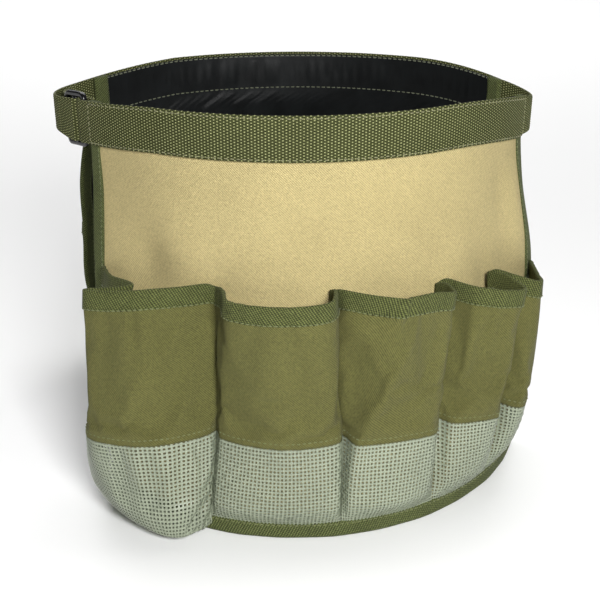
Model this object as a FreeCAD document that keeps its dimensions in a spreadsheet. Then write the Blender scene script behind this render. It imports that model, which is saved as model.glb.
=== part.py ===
"""Tool bucket organiser: two pocketed fabric panels hung from one webbing belt.

Each panel is 305 mm of stiff woven fabric, lined, bound on three sides, with five pleated
pockets whose lower third is open mesh.  The belt joins the panels with a sewn link at one
side and a strap with a sliding buckle at the other, so that it closes round a bucket.

Frame: +Z up, the front panel faces -Y, the buckle is on the -X side, and the origin is the
centre of the base.  Each side is drawn in its own frame, in which it faces -Y; the back one
is then turned half round.  Arc lengths run along a panel's outer face from its left edge.
All sizes are in millimetres and degrees.
"""
import FreeCAD
import Part
import math
import os
import Sketcher

DRIVING_SIZES = {
    # heights
    "hem_level": 125.0,
    "waist_level": 135.0,
    "belt_level": 195.7,
    "webbing_width": 25.4,
    "rim_drop": 0.8,
    "binding_width": 9.0,
    "seam_level": 60.0,
    "pouch_level": 22.0,
    "butt_gap": 0.3,
    # the plan of each panel's outer face: circles whose centres lie on the Y axis
    "foot_radius": 143.6,
    "foot_centre": -9.6,
    "front_waist_radius": 152.0,
    "front_waist_centre": 38.0,
    "front_rim_radius": 156.3,
    "front_rim_centre": 68.6,
    "front_start": -50.2,
    "back_waist_radius": 153.8,
    "back_waist_centre": 29.8,
    "back_rim_radius": 159.7,
    "back_rim_centre": 55.0,
    "back_start": -56.0,
    "panel_width": 305.0,
    # thicknesses
    "panel_thickness": 1.4,
    "lining_thickness": 0.8,
    "binding_wrap": 0.6,
    "webbing_gap": 0.7,
    "webbing_thickness": 1.6,
    "face_thickness": 1.2,
    "hem_thickness": 2.2,
    "hem_wrap": 0.5,
    "mesh_thickness": 1.4,
    # pockets
    "seam_gap": 0.4,
    "pocket_gap": 1.1,
    "foot_depth": 3.5,
    # buckle end: u runs from the front panel's left edge along the belt
    "buckle_start": 8.0,
    "buckle_length": 23.0,
    "buckle_width": 32.5,
    "buckle_thickness": 3.2,
    "buckle_bar": 3.5,
    "buckle_rail": 3.1,
    "buckle_corner": 3.0,
    "turn_radius": 2.1,
    "strap_start": 31.0,
    "strap_radius": 26.5,
    "strap_turn": 76.4,
    "strap_straight": 20.8,
    "tail_turn": 82.0,
    # sewn link at the other side
    "link_x": 118.2,
    "link_y": 12.4,
    "link_radius": 28.4,
    "link_start": -37.0,
    "link_end": 51.0,
    # place of the base's centre in the frame of the plan circles
    "base_x": -0.31,
    "base_y": 0.815,
}

# Arc lengths of the pockets' seams at the hem and at the foot, from the panel's left edge.
SEAMS_AT_HEM = (0.0, 87.0, 149.0, 210.0, 251.0, 305.0)
SEAMS_AT_FOOT = (0.0, 73.0, 147.0, 203.0, 251.0, 305.0)
# How far each pocket's face stands out from the panel: at the hem, where the mesh starts,
# and just above the foot.  The first pocket is a full pouch.
POCKET_DEPTHS = (
    (33.0, 34.0, 26.0),
    (29.0, 16.0, 10.0),
    (29.0, 18.0, 11.0),
    (32.0, 18.0, 10.0),
    (28.0, 22.0, 10.0),
)
# How far the face's two corners lie from the pocket's seams, along the panel.  The walls of
# the end pockets lean in from the panel's edges.
CORNER_INSETS = ((26.0, 26.0), (9.0, 5.0), (12.0, 5.0), (10.0, 6.0), (6.0, 36.0))

# Flats across the curved face of each pocket.
FACE_FLATS = 4
SIDES = {"front": 0.0, "back": 180.0}

document = FreeCAD.newDocument("BucketOrganiser")


def make_sheet():
    """Puts every driving size in the spreadsheet, one row each, with its alias."""
    sizes = dict(DRIVING_SIZES)
    for seam, (hem, foot) in enumerate(zip(SEAMS_AT_HEM, SEAMS_AT_FOOT)):
        sizes[f"seam_{seam}_hem"] = hem
        sizes[f"seam_{seam}_foot"] = foot
    for pocket, depths in enumerate(POCKET_DEPTHS, start=1):
        sizes[f"pocket_{pocket}_hem"] = depths[0]
        sizes[f"pocket_{pocket}_seam"] = depths[1]
        sizes[f"pocket_{pocket}_pouch"] = depths[2]
    for pocket, insets in enumerate(CORNER_INSETS, start=1):
        sizes[f"pocket_{pocket}_left_inset"] = insets[0]
        sizes[f"pocket_{pocket}_right_inset"] = insets[1]
    sheet = document.addObject("Spreadsheet::Sheet", "Sizes")
    for row, (alias, value) in enumerate(sizes.items(), start=1):
        sheet.set(f"A{row}", alias.replace("_", " "))
        sheet.set(f"B{row}", str(value))
        sheet.setAlias(f"B{row}", alias)
    document.recompute()
    return sheet


SHEET = make_sheet()


def size(alias):
    """Expression that reads one driving size."""
    return f"{SHEET.Name}.{alias}"


def number(expression):
    """Present value of an expression, for a sketch's first geometry."""
    result = SHEET.evalExpression(expression)
    return float(getattr(result, "Value", result))


RIM_LEVEL = f"({size('belt_level')} + {size('webbing_width')} - {size('rim_drop')})"
FOOT_LEVEL = f"({size('binding_width')} + {size('butt_gap')})"


# ---------------------------------------------------------------- sketches and features


def new_body(name, turn=0.0):
    """A body whose own frame is turned about Z and set over the base's centre."""
    body = document.addObject("PartDesign::Body", name)
    body.Label = name
    base = FreeCAD.Vector(-number(size("base_x")), -number(size("base_y")), 0)
    spin = FreeCAD.Rotation(FreeCAD.Vector(0, 0, 1), turn)
    body.Placement = FreeCAD.Placement(base, spin)
    return body


def new_sketch(body, name, offset, spin=None):
    """A sketch on the body's XY plane, moved by three expressions and turned by a fourth."""
    sketch = body.newObject("Sketcher::SketchObject", f"{body.Name}_{name}")
    planes = [item for item in body.Origin.OriginFeatures if item.Role == "XY_Plane"]
    sketch.AttachmentSupport = (planes[0], [""])
    sketch.MapMode = "FlatFace"
    for axis, expression in zip("xyz", offset):
        sketch.setExpression(f"AttachmentOffset.Base.{axis}", expression)
    if spin is not None:
        sketch.setExpression("AttachmentOffset.Rotation.Angle", spin)
    return sketch


def dimension(sketch, constraint, expression):
    """Adds a dimension and binds it to an expression of driving sizes."""
    index = sketch.addConstraint(constraint)
    sketch.setExpression(f"Constraints[{index}]", expression)


def outline(body, name, offset, corners, spin=None):
    """Closed polygon; each corner is a pair of expressions."""
    sketch = new_sketch(body, name, offset, spin)
    points = [FreeCAD.Vector(number(x), number(y), 0) for x, y in corners]
    count = len(points)
    for index in range(count):
        line = Part.LineSegment(points[index], points[(index + 1) % count])
        sketch.addGeometry(line)
    for index in range(count):
        link = Sketcher.Constraint("Coincident", index, 2, (index + 1) % count, 1)
        sketch.addConstraint(link)
    for index, (x, y) in enumerate(corners):
        across = Sketcher.Constraint("DistanceX", -1, 1, index, 1, points[index].x)
        along = Sketcher.Constraint("DistanceY", -1, 1, index, 1, points[index].y)
        dimension(sketch, across, x)
        dimension(sketch, along, y)
    return sketch


def sector(body, name, offset, inner, outer, start, end):
    """Part of a ring about the sketch's origin, between two angles from the X axis."""
    sketch = new_sketch(body, name, offset)
    first = math.radians(number(start))
    last = math.radians(number(end))
    centre = FreeCAD.Vector(0, 0, 0)
    up = FreeCAD.Vector(0, 0, 1)
    arcs = []
    for radius in (inner, outer):
        circle = Part.Circle(centre, up, number(radius))
        arc = sketch.addGeometry(Part.ArcOfCircle(circle, first, last))
        sketch.addConstraint(Sketcher.Constraint("Coincident", arc, 3, -1, 1))
        arcs.append(arc)
    for end_number, angle in ((1, first), (2, last)):
        ray = FreeCAD.Vector(math.cos(angle), math.sin(angle), 0)
        cap = sketch.addGeometry(Part.LineSegment(ray * number(inner), ray * number(outer)))
        sketch.addConstraint(Sketcher.Constraint("Coincident", cap, 1, arcs[0], end_number))
        sketch.addConstraint(Sketcher.Constraint("Coincident", cap, 2, arcs[1], end_number))
    for arc, radius in zip(arcs, (inner, outer)):
        dimension(sketch, Sketcher.Constraint("Radius", arc, number(radius)), radius)
        for end_number, angle in ((1, start), (2, end)):
            across = f"({radius}) * cos(({angle}) * 1 deg)"
            place = Sketcher.Constraint("DistanceX", -1, 1, arc, end_number, number(across))
            dimension(sketch, place, across)
    return sketch


def pad(body, sketch, length):
    """Straight pad of one sketch, upwards."""
    feature = body.newObject("PartDesign::Pad", f"{sketch.Name}_pad")
    feature.Profile = sketch
    feature.setExpression("Length", length)
    return feature


def loft(body, sketches):
    """Ruled loft through sketches at rising levels."""
    feature = body.newObject("PartDesign::AdditiveLoft", f"{body.Name}_loft")
    feature.Profile = (sketches[0], [""])
    feature.Sections = [(sketch, [""]) for sketch in sketches[1:]]
    feature.Ruled = True
    return feature


# ---------------------------------------------------------------- the panels' plan


def height_share(level):
    """Height as a share of the waist's, where the hems of the pockets are."""
    return f"(({level}) / {size('waist_level')})"


def ring(side, level):
    """Radius and centre of a panel's outer face at a level, as expressions."""
    if number(level) > number(size("waist_level")):
        return size(f"{side}_rim_radius"), size(f"{side}_rim_centre")
    share = height_share(level)
    found = []
    for what in ("radius", "centre"):
        foot = size(f"foot_{what}")
        waist = size(f"{side}_waist_{what}")
        found.append(f"({foot} + ({waist} - {foot}) * {share})")
    return tuple(found)


def angle_at(side, level, arc_length):
    """Direction of a point of the panel, from the X axis of its side's frame."""
    radius, _ = ring(side, level)
    return f"({size(f'{side}_start')} - 90 + ({arc_length}) / {radius} * 180 / pi)"


def curved_strip(name, side, levels, inner, outer, start, end):
    """A strip of the panel's stack, between two depths and two arc lengths."""
    body = new_body(name, SIDES[side])
    sketches = []
    for index, level in enumerate(levels):
        radius, centre = ring(side, level)
        sketch = sector(
            body,
            f"level_{index}",
            ("0", centre, level),
            f"({radius} + ({inner}))",
            f"({radius} + ({outer}))",
            angle_at(side, level, start),
            angle_at(side, level, end),
        )
        sketches.append(sketch)
    if len(sketches) == 1:
        pad(body, sketches[0], size("binding_width"))
    else:
        loft(body, sketches)
    return body


def panel_pieces(side):
    """Fabric panel, lining and the binding on three of its edges."""
    levels = (FOOT_LEVEL, size("waist_level"), size("belt_level"), RIM_LEVEL)
    skin = f"-{size('panel_thickness')}"
    back = f"-{size('panel_thickness')} - {size('lining_thickness')}"
    wrap_in = f"{back} - {size('binding_wrap')}"
    wrap_out = size("binding_wrap")
    width = size("panel_width")
    left = f"{size('binding_width')} + {size('butt_gap')}"
    right = f"{width} - {size('binding_width')} - {size('butt_gap')}"
    curved_strip(f"{side}_panel", side, levels, skin, "0", left, right)
    curved_strip(f"{side}_lining", side, levels, back, skin, left, right)
    edge = size("binding_width")
    curved_strip(f"{side}_binding_left", side, levels, wrap_in, wrap_out, "0", edge)
    far = f"{width} - {edge}"
    curved_strip(f"{side}_binding_right", side, levels, wrap_in, wrap_out, far, width)
    curved_strip(f"{side}_binding_foot", side, ("0",), wrap_in, wrap_out, "0", width)


def belt_webbing(side):
    """The belt's webbing on the outside of one panel's rim."""
    top = f"({size('belt_level')} + {size('webbing_width')})"
    gap = size("webbing_gap")
    outer = f"{gap} + {size('webbing_thickness')}"
    levels = (size("belt_level"), top)
    curved_strip(f"{side}_belt", side, levels, gap, outer, "0", size("panel_width"))


# ---------------------------------------------------------------- pockets


def polar(radius, angle):
    """Corner at a radius and an angle about the sketch's origin."""
    return f"({radius}) * cos(({angle}) * 1 deg)", f"({radius}) * sin(({angle}) * 1 deg)"


def pocket_section(body, name, side, pocket, level, depth, thickness, stand):
    """U-shaped section of a pocket wall: pleat, face, pleat, open towards the panel."""
    radius, centre = ring(side, level)
    ends = []
    for seam in (pocket - 1, pocket):
        foot = size(f"seam_{seam}_foot")
        hem = size(f"seam_{seam}_hem")
        ends.append(f"({foot} + ({hem} - {foot}) * {height_share(level)})")
    gap = size("seam_gap")
    seam_left = f"({ends[0]} + {gap})"
    seam_right = f"({ends[1]} - {gap})"
    face_left = f"({ends[0]} + {size(f'pocket_{pocket}_left_inset')})"
    face_right = f"({ends[1]} - {size(f'pocket_{pocket}_right_inset')})"
    base = f"{radius} + {size('pocket_gap')}"
    face = f"{radius} + {depth} + {stand}"

    def corners(cut):
        found = [polar(base, angle_at(side, level, f"{seam_left} + {cut}"))]
        start = f"({face_left} + {cut})"
        end = f"({face_right} - {cut})"
        for step in range(FACE_FLATS + 1):
            along = f"{start} + ({end} - {start}) * {step} / {FACE_FLATS}"
            found.append(polar(f"{face} - {cut}", angle_at(side, level, along)))
        found.append(polar(base, angle_at(side, level, f"{seam_right} - {cut}")))
        return found

    outer = corners("0")
    inner = corners(thickness)
    inner.reverse()
    return outline(body, name, ("0", centre, level), outer + inner)


def pocket_piece(name, side, pocket, sections, thickness, stand):
    """Loft of a pocket wall through (level, depth) sections."""
    body = new_body(name, SIDES[side])
    sketches = []
    for index, (level, depth) in enumerate(sections):
        name = f"level_{index}"
        sketches.append(pocket_section(body, name, side, pocket, level, depth, thickness, stand))
    loft(body, sketches)


def pocket_pieces(side, pocket):
    """One pocket: olive face with its pleats, mesh lower part, and folded hem."""
    hem_depth = size(f"pocket_{pocket}_hem")
    seam_depth = size(f"pocket_{pocket}_seam")
    pouch_depth = size(f"pocket_{pocket}_pouch")
    gap = size("butt_gap")
    # The face is straight between the mesh and the hem.
    low = size("seam_level")
    rise = f"({size('hem_level')} - {low}) / ({size('waist_level')} - {low})"
    depth_below_hem = f"({seam_depth} + ({hem_depth} - {seam_depth}) * {rise})"
    prefix = f"{side}_pocket_{pocket}"
    face_sections = (
        (size("seam_level"), seam_depth),
        (size("hem_level"), depth_below_hem),
    )
    pocket_piece(f"{prefix}_face", side, pocket, face_sections, size("face_thickness"), "0")
    mesh_sections = (
        (f"({FOOT_LEVEL})", size("foot_depth")),
        (size("pouch_level"), pouch_depth),
        (f"({size('seam_level')} - {gap})", seam_depth),
    )
    pocket_piece(f"{prefix}_mesh", side, pocket, mesh_sections, size("mesh_thickness"), "0")
    hem_sections = (
        (f"({size('hem_level')} + {gap})", depth_below_hem),
        (size("waist_level"), hem_depth),
    )
    hem_thickness = size("hem_thickness")
    pocket_piece(f"{prefix}_hem", side, pocket, hem_sections, hem_thickness, size("hem_wrap"))


# ---------------------------------------------------------------- buckle, strap and link


def buckle_frame():
    """Placement at the front panel's left edge: x runs on along the belt, y points out."""
    middle = number(size("webbing_gap")) + number(size("webbing_thickness")) / 2
    radius = number(size("front_rim_radius")) + middle
    angle = math.radians(number(size("front_start")) - 90)
    x = radius * math.cos(angle) - number(size("base_x"))
    y = number(size("front_rim_centre")) + radius * math.sin(angle) - number(size("base_y"))
    spin = FreeCAD.Rotation(FreeCAD.Vector(0, 0, 1), math.degrees(angle) - 90)
    return FreeCAD.Placement(FreeCAD.Vector(x, y, 0), spin)


def buckle_body(name):
    """A body drawn in the buckle's frame."""
    body = new_body(name)
    body.Placement = buckle_frame()
    return body


def plate(body, name, start_x, start_y, length, spin="0"):
    """Upright piece of webbing: a thin rectangle in plan, its middle line from a start point."""
    half = f"({size('webbing_thickness')} / 2)"
    corners = (
        ("0", f"-{half}"),
        (length, f"-{half}"),
        (length, half),
        ("0", half),
    )
    sketch = outline(body, name, (start_x, start_y, size("belt_level")), corners, spin)
    return pad(body, sketch, size("webbing_width"))


def bend(body, name, centre_x, centre_y, radius, start, end):
    """Upright piece of webbing bent round a vertical axis; radius is its middle line's."""
    half = f"({size('webbing_thickness')} / 2)"
    offset = (centre_x, centre_y, size("belt_level"))
    sketch = sector(body, name, offset, f"({radius} - {half})", f"({radius} + {half})", start, end)
    return pad(body, sketch, size("webbing_width"))


def bar_place(bar):
    """Middle of one of the buckle's three bars, along the belt."""
    pitch = f"(({size('buckle_length')} - {size('buckle_bar')}) / 2)"
    return f"({size('buckle_start')} + {pitch} * {bar})"


def leg_offset():
    """Distance from the buckle's middle plane to the webbing that lies on it."""
    return f"({size('turn_radius')} + {size('webbing_thickness')} / 2)"


def belt_loop():
    """The front belt's end, folded round the buckle's first bar and sewn back."""
    body = buckle_body("belt_loop")
    turn = f"({bar_place(0)} + {size('buckle_bar')} / 4)"
    leg = f"({turn} - {size('butt_gap')})"
    plate(body, "outer", size("butt_gap"), "0", leg)
    bend(body, "turn", turn, f"-{leg_offset()}", leg_offset(), "-90", "90")
    plate(body, "inner", size("butt_gap"), f"(-2 * {leg_offset()})", leg)


def strap_wrap():
    """The strap's turn round the buckle's middle bar: over it outside, back inside."""
    body = buckle_body("strap_wrap")
    turn = f"({bar_place(1)} - {size('buckle_bar')} / 4)"
    leg = f"({size('strap_start')} - {size('butt_gap')} - {turn})"
    plate(body, "outer", turn, "0", leg)
    bend(body, "turn", turn, f"-{leg_offset()}", leg_offset(), "90", "270")
    plate(body, "inner", turn, f"(-2 * {leg_offset()})", leg)


def strap():
    """The load side of the strap: round the corner and on to the back panel's belt."""
    body = buckle_body("strap")
    start = size("strap_start")
    radius = size("strap_radius")
    end = f"(90 - {size('strap_turn')})"
    bend(body, "corner", start, f"-{radius}", radius, end, "90")
    end_x = f"({start} + {radius} * cos({end} * 1 deg))"
    end_y = f"(-{radius} + {radius} * sin({end} * 1 deg))"
    plate(body, "run", end_x, end_y, size("strap_straight"), f"-{size('strap_turn')} * 1 deg")


def strap_tail():
    """The strap's free end, inside the corner."""
    body = buckle_body("strap_tail")
    radius = size("strap_radius")
    inner = f"({radius} - 2 * {leg_offset()})"
    end = f"(90 - {size('tail_turn')})"
    bend(body, "corner", size("strap_start"), f"-{radius}", inner, end, "90")


def right_link():
    """Webbing sewn to both panels' belts at the side away from the buckle."""
    body = new_body("right_link")
    bend(
        body,
        "bend",
        size("link_x"),
        size("link_y"),
        size("link_radius"),
        size("link_start"),
        size("link_end"),
    )


def buckle():
    """Three-bar sliding buckle, moulded in one piece, with softened edges."""
    body = new_body("buckle")
    frame = buckle_frame()
    upright = FreeCAD.Rotation(FreeCAD.Vector(1, 0, 0), 90)
    middle_level = number(size("belt_level")) + number(size("webbing_width")) / 2
    place = FreeCAD.Vector(
        number(bar_place(0)),
        -number(leg_offset()) + number(size("buckle_thickness")) / 2,
        middle_level,
    )
    body.Placement = frame.multiply(FreeCAD.Placement(place, upright))
    bar = size("buckle_bar")
    near = f"(-{bar} / 2)"
    far = f"({near} + {size('buckle_length')})"
    top = f"({size('buckle_width')} / 2)"
    corners = ((near, f"-{top}"), (far, f"-{top}"), (far, top), (near, top))
    plan = outline(body, "outline", ("0", "0", "0"), corners)
    pad(body, plan, size("buckle_thickness"))
    inside = f"({top} - {size('buckle_rail')})"
    pitch = f"(({size('buckle_length')} - {bar}) / 2)"
    for window in range(2):
        low = f"({pitch} * {window} + {bar} / 2)"
        high = f"({pitch} * {window + 1} - {bar} / 2)"
        corners = ((low, f"-{inside}"), (high, f"-{inside}"), (high, inside), (low, inside))
        slot = outline(body, f"window_{window}", ("0", "0", "0"), corners)
        document.recompute()
        pocket = body.newObject("PartDesign::Pocket", f"window_{window}_cut")
        pocket.Profile = slot
        pocket.Type = "ThroughAll"
        pocket.Reversed = True
    document.recompute()
    solid = body.Tip
    edges = solid.Shape.Edges
    depth = number(size("buckle_thickness"))
    upright_edges = [
        f"Edge{index}"
        for index, edge in enumerate(edges, start=1)
        if abs(edge.Vertexes[0].Point.z - edge.Vertexes[1].Point.z) > depth / 2
        and abs(edge.CenterOfMass.y) > number(inside) + 0.1
    ]
    corners = body.newObject("PartDesign::Fillet", "buckle_corners")
    corners.Base = (solid, upright_edges)
    corners.setExpression("Radius", size("buckle_corner"))


def check_and_export(bodies):
    """Stops on any failed object or bad shape, then writes one STEP file per body."""
    failed = [item.Name for item in document.Objects if {"Invalid", "Error"} & set(item.State)]
    if failed:
        raise RuntimeError(f"failed objects: {failed}")
    for body in bodies:
        if body.Shape.isNull() or not body.Shape.isValid() or len(body.Shape.Solids) != 1:
            raise RuntimeError(f"bad shape: {body.Label}")
    os.makedirs("parts", exist_ok=True)
    whole = FreeCAD.BoundBox()
    for body in bodies:
        body.Shape.exportStep(f"parts/{body.Label}.step")
        whole.add(body.Shape.optimalBoundingBox())
    print(f"{len(bodies)} pieces")
    print(f"box {whole.XMin:.2f} {whole.YMin:.2f} {whole.ZMin:.2f}")
    print(f"to  {whole.XMax:.2f} {whole.YMax:.2f} {whole.ZMax:.2f}")


def main():
    for side in SIDES:
        panel_pieces(side)
        belt_webbing(side)
        for pocket in range(1, len(POCKET_DEPTHS) + 1):
            pocket_pieces(side, pocket)
    right_link()
    belt_loop()
    strap_wrap()
    strap()
    strap_tail()
    buckle()
    document.recompute()
    bodies = [item for item in document.Objects if item.TypeId == "PartDesign::Body"]
    check_and_export(bodies)


main()
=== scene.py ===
import math

import bpy
import numpy as np
from mathutils import Euler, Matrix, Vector


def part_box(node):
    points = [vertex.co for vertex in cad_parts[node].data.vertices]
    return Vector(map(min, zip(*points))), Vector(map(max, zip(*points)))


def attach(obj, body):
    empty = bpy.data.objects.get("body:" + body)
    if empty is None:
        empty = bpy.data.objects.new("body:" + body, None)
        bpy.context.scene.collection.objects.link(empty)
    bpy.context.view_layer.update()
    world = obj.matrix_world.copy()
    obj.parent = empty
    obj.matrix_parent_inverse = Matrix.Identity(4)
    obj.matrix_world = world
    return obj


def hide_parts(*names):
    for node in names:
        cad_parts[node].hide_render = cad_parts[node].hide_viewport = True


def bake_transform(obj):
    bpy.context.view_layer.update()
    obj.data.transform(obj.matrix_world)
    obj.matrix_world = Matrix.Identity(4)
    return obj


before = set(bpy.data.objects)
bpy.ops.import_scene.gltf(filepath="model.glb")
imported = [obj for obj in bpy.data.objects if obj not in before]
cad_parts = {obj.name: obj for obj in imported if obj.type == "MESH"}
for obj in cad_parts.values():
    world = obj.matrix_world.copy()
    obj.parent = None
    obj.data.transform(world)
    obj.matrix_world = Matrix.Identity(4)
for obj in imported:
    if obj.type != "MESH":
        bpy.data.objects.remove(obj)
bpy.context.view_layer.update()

# Lengths are in millimetres and angles in degrees, until a place is multiplied by MM.
MM = 0.001
UV_PER_MM = 0.01

# ---- plan of the two panels
PANEL_WIDTH = 305.0
HEM_TOP, BELT_LOW, BELT_HIGH = 135.0, 195.7, 221.1
RIM = 220.3
PANEL_SKIN, LINING_SKIN = 1.4, 0.8
STACK = PANEL_SKIN + LINING_SKIN
WEBBING, BELT_GAP = 1.6, 0.7
BELT_MIDDLE = BELT_GAP + WEBBING / 2

# Each panel is a piece of a round wall: its radius and its centre's y change with height.
BASE_RADIUS, BASE_CENTRE = 143.6, -9.6
RING_LEVELS = (0.0, HEM_TOP, BELT_LOW, BELT_HIGH)
RINGS = {
    "front": ((BASE_RADIUS, 152.0, 156.3, 156.3), (BASE_CENTRE, 38.0, 68.6, 68.6)),
    "back": ((BASE_RADIUS, 153.8, 159.7, 159.7), (BASE_CENTRE, 29.8, 55.0, 55.0)),
}
STARTS = {"front": -50.2, "back": -56.0}

# The back panel's lower part hangs a little further round than its belt.
TURN_LEVELS = (0.0, 40.0, 85.0, HEM_TOP, 160.0, 185.0, BELT_LOW, BELT_HIGH)
BACK_TURNS = (0.0, 8.0, 12.5, 9.7, 7.8, 4.8, 0.0, 0.0)

# The belt and the cloth hang down at their far ends: by how much, and with what power of x.
SAG_INSIDE, SAG_OUTSIDE, SAG_MOST, SAG_FULL_HEIGHT = 80.0, 147.0, 1.1, 130.0
SAG_RIGHT, SAG_LEFT = (10.4, 2.2), (6.8, 1.2)

# The front panel's side edges stand out from its arc above the pockets.
FLARE_RIGHT, FLARE_LEFT = 8.0, 4.2
FLARE_REACH_RIGHT, FLARE_REACH_LEFT, FLARE_POWER = 26.0, 24.0, 1.6
FLARE_LEVEL, FLARE_TALL = 118.0, 48.0

LINK_CENTRE, LINK_RADIUS, LINK_FROM, LINK_TO = (118.2, 12.4), 28.4, -42.5, 55.8
FOOT_TAPE_OUT = 0.6

# From the plan's own middle to the frame's, along x and y.
SHIFT = np.array(
    [
        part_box("right_link")[1][0] / MM - (LINK_CENTRE[0] + LINK_RADIUS + WEBBING / 2),
        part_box("front_binding_foot")[0][1] / MM + BASE_RADIUS - BASE_CENTRE + FOOT_TAPE_OUT,
    ]
)


def smooth_through(knots, values, at):
    """Monotone cubic through values (knots on axis 0), at one-dimensional places."""
    x, y, at = np.asarray(knots, float), np.asarray(values, float), np.asarray(at, float)
    step = np.diff(x).reshape((-1,) + (1,) * (y.ndim - 1))
    slope = np.diff(y, axis=0) / step
    inner = slope[:-1] * slope[1:]
    mean = 2 * inner / np.where(inner > 0, slope[:-1] + slope[1:], 1)
    tangent = np.concatenate([slope[:1], np.where(inner > 0, mean, 0), slope[-1:]])
    i = np.clip(np.searchsorted(x, at, side="right") - 1, 0, len(x) - 2)
    t = ((at - x[i]) / (x[i + 1] - x[i])).reshape((-1,) + (1,) * (y.ndim - 1))
    h = step[i]
    return (
        y[i] * (1 + 2 * t) * (1 - t) ** 2
        + tangent[i] * h * t * (1 - t) ** 2
        + y[i + 1] * t * t * (3 - 2 * t)
        + tangent[i + 1] * h * t * t * (t - 1)
    )


def ease(t):
    t = np.clip(t, 0, 1)
    return t * t * (3 - 2 * t)


def bell(t):
    """One at 0, and fading smoothly to nothing on both sides of it."""
    return np.exp(-(t**2))


def sag_at(x, z):
    """How far cloth hangs down at its two far ends, where nothing stiffens it."""
    out = np.clip((np.abs(x) - SAG_INSIDE) / (SAG_OUTSIDE - SAG_INSIDE), 0, SAG_MOST)
    sag = np.where(x > 0, SAG_RIGHT[0] * out ** SAG_RIGHT[1], SAG_LEFT[0] * out ** SAG_LEFT[1])
    return sag * ease(z / SAG_FULL_HEIGHT)


def panel_point(side, s, z, d):
    """Place of a point s along a panel from its left edge, at height z, d out from it."""
    s, z, d = np.broadcast_arrays(np.asarray(s, float), z, d)
    flat = smooth_through(RING_LEVELS, np.array(RINGS[side]).T, z.ravel())
    radius, centre = flat[:, 0].reshape(z.shape), flat[:, 1].reshape(z.shape)
    angle = math.radians(STARTS[side] - 90) + s / radius
    if side == "back":
        turn = smooth_through(TURN_LEVELS, BACK_TURNS, z.ravel()).reshape(z.shape)
        angle = angle + np.radians(turn)
    else:
        level = bell((z - FLARE_LEVEL) / FLARE_TALL)
        from_right = np.abs((PANEL_WIDTH - s) / FLARE_REACH_RIGHT)
        from_left = np.abs(s / FLARE_REACH_LEFT)
        d = d + FLARE_RIGHT * level * np.exp(-(from_right**FLARE_POWER))
        d = d + FLARE_LEFT * level * np.exp(-(from_left**FLARE_POWER))
    x = (radius + d) * np.cos(angle)
    y = centre + (radius + d) * np.sin(angle)
    if side == "back":
        x, y = -x, -y
    return np.stack([x + SHIFT[0], y + SHIFT[1], z - sag_at(x, z)], axis=-1) * MM


def ripple(u, v, seed, count, long_wave, short_wave):
    """Smooth seeded noise of about unit size over two coordinates in mm."""
    draw = np.random.default_rng(seed)
    total = np.zeros(np.broadcast(u, v).shape)
    for _ in range(count):
        wave = math.exp(draw.uniform(math.log(short_wave), math.log(long_wave)))
        turn, phase = draw.uniform(0, 2 * math.pi, 2)
        along = u * math.cos(turn) + v * math.sin(turn)
        total = total + np.cos(2 * math.pi * along / wave + phase)
    return total / math.sqrt(count / 2)


def lengths_along(line):
    """Distance gone at each point of a line, from its start."""
    return np.concatenate([[0], np.cumsum(np.linalg.norm(np.diff(line, axis=0), axis=1))])


def unit(vectors):
    return vectors / np.maximum(np.linalg.norm(vectors, axis=-1, keepdims=True), 1e-12)


# ---- mesh helpers
def add_object(name, data):
    obj = bpy.data.objects.new(name, data)
    bpy.context.scene.collection.objects.link(obj)
    return obj


def add_mesh(name, points, faces, material, uv=None):
    mesh = bpy.data.meshes.new(name)
    mesh.from_pydata(np.asarray(points, float).reshape(-1, 3).tolist(), [], faces)
    mesh.update()
    mesh.shade_smooth()
    if uv is not None:
        layer = mesh.uv_layers.new(name="Weave")
        corner = np.zeros(len(mesh.loops), np.int32)
        mesh.loops.foreach_get("vertex_index", corner)
        layer.data.foreach_set("uv", (uv.reshape(-1, 2)[corner] * UV_PER_MM).ravel())
    if material is not None:
        mesh.materials.append(material)
    return add_object(name, mesh)


def place_piece(piece, body, node):
    """Ties a piece to its body, and hides the CAD node that it stands for."""
    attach(piece, body)
    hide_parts(node)


def quads(rows, cols, start=0, flip=False):
    """Faces of a grid of points, outward when rows go up and columns go along."""
    r, c = np.arange(rows - 1), np.arange(cols - 1)
    a = start + r[:, None] * cols + c[None, :]
    b = a + cols
    order = (a, b, b + 1, a + 1) if flip else (a, a + 1, b + 1, b)
    return np.stack(order, axis=-1).reshape(-1, 4).tolist()


def rim_quads(rows, cols):
    """Faces that join the borders of two copies of a grid, the second one behind the first."""
    count = rows * cols
    low, left = np.arange(cols - 1), np.arange(rows - 1) * cols
    borders = (
        (low, 1, True),
        (low + (rows - 1) * cols, 1, False),
        (left, cols, False),
        (left + cols - 1, cols, True),
    )
    faces = []
    for a, step, turned in borders:
        rim = (a, a + step, a + step + count, a + count)
        faces += np.stack(rim[::-1] if turned else rim, axis=-1).tolist()
    return faces


def tube_faces(rings, around, start=0, closed=False):
    """Faces of a tube through rings of points, with both ends capped unless it closes on itself."""
    ring = np.arange(rings if closed else rings - 1)[:, None]
    following = (ring + 1) % rings
    k = np.arange(around)[None, :]
    beside = (k + 1) % around
    corners = (ring * around + k, ring * around + beside, following * around + beside, following * around + k)
    faces = (start + np.stack(corners, axis=-1)).reshape(-1, 4).tolist()
    if not closed:
        last = start + (rings - 1) * around
        faces.append(list(range(start, start + around))[::-1])
        faces.append(list(range(last, last + around)))
    return faces


def normals_of(grid):
    return unit(np.cross(np.gradient(grid, axis=1), np.gradient(grid, axis=0)))


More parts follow.
